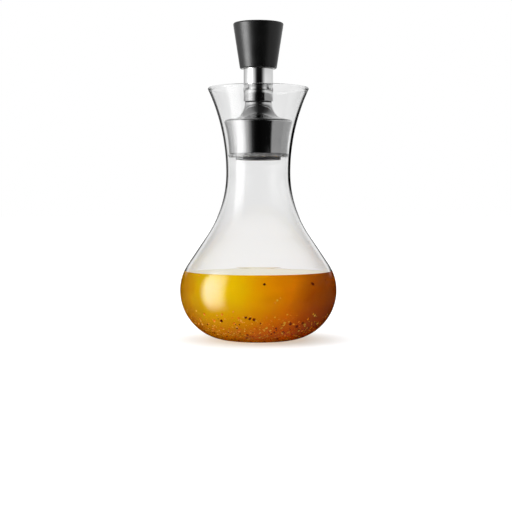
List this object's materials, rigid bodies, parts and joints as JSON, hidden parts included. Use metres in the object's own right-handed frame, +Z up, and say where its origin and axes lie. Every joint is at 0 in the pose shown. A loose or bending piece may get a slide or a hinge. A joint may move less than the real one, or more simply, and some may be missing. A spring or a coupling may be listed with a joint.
{
  "type": "salad dressing shaker bottle",
  "caption": "Round glass dressing bottle with a waisted neck, a flared mouth, a steel-collared pourer and a pull-out stopper with a black grip.",
  "frame": {"origin": "centre of the bottle's flat foot, on the table", "axes": "+Z up along the bottle's axis, +Y away from the picture's viewer, +X to the viewer's right"},
  "size_m": [0.1018, 0.1018, 0.205],
  "materials": {
    "clear_glass": "clear, fire-polished",
    "vinaigrette": "translucent amber liquid, darker towards its lower right, with herb flakes",
    "polished_steel": "mirror polished stainless steel",
    "plain_steel": "satin stainless steel",
    "black_grip": "matt black",
    "grey_moulding": "smooth moulded",
    "clear_silicone": "cloudy translucent silicone",
    "black_rubber": "smooth black"
  },
  "bodies": {
    "bottle_body": {"bottle": "clear_glass", "dressing": "vinaigrette"},
    "pourer": {"collar": "polished_steel", "spout": "polished_steel", "pourer_core": "grey_moulding", "flange_gasket": "clear_silicone", "seat_bush": "clear_silicone", "seal_ring": "clear_silicone", "clamp_nut": "grey_moulding"},
    "stopper": {"grip": "black_grip", "grip_core": "grey_moulding", "grip_nut": "plain_steel", "grip_base": "plain_steel", "stem_sleeve": "polished_steel", "stem_rod": "plain_steel", "plug": "grey_moulding", "rim_gasket": "black_rubber", "upper_o_ring": "black_rubber", "lower_o_ring": "black_rubber", "end_nut": "plain_steel"}
  },
  "joints": [
    {"name": "pourer_lift", "type": "slide", "parent": "bottle_body", "child": "pourer", "axis": [0, 0, 1], "range_m": [0, 0.09]},
    {"name": "stopper_lift", "type": "slide", "parent": "pourer", "child": "stopper", "axis": [0, 0, 1], "range_m": [0, 0.04]}
  ]
}
